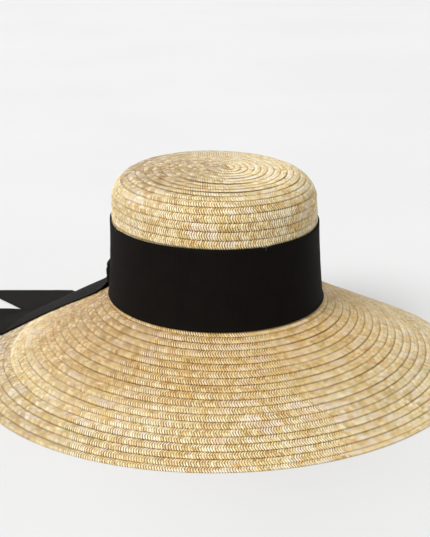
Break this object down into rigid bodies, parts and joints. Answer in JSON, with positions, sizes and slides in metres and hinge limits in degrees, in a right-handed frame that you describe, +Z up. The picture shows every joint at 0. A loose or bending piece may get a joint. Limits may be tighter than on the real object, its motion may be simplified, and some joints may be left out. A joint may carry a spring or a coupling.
{
  "type": "straw sun hat",
  "caption": "Wide-brimmed natural straw sun hat with a flat crown, a black grosgrain hatband, a knot at the back and ribbon tails laid over the brim.",
  "frame": {"origin": "on the crown's axis, in the plane that the brim's rim rests on", "axes": "+Z up along the crown's axis, -Y towards the wearer's face, +Y towards the back of the head, +X towards the wearer's left"},
  "size_m": [0.437, 0.4778, 0.1741],
  "materials": {
    "natural_straw": "satin",
    "black_grosgrain": "matte",
    "sweatband_tape": "matte",
    "label_tape": "matte",
    "black_thread": "matte"
  },
  "bodies": {
    "hat": {"crown_tip": "natural_straw", "crown_wall": "natural_straw", "brim": "natural_straw", "hatband": "black_grosgrain", "band_knot": "black_grosgrain", "sweatband": "sweatband_tape", "inside_label": "label_tape", "band_tack_front": "black_thread", "band_tack_left": "black_thread", "band_tack_back": "black_thread", "band_tack_right": "black_thread"},
    "near_tail": {"ribbon_tail_near": "black_grosgrain"},
    "far_tail": {"ribbon_tail_far": "black_grosgrain"}
  },
  "joints": [
    {"name": "near_tail_lift", "type": "hinge", "parent": "hat", "child": "near_tail", "pos_m": [-0.06093, 0.08692, 0.06194], "axis": [0.829, 0.5592, 0], "range_deg": [0, 75]},
    {"name": "far_tail_lift", "type": "hinge", "parent": "hat", "child": "far_tail", "pos_m": [-0.04187, 0.09978, 0.06106], "axis": [0.9563, 0.2924, 0], "range_deg": [0, 75]}
  ]
}
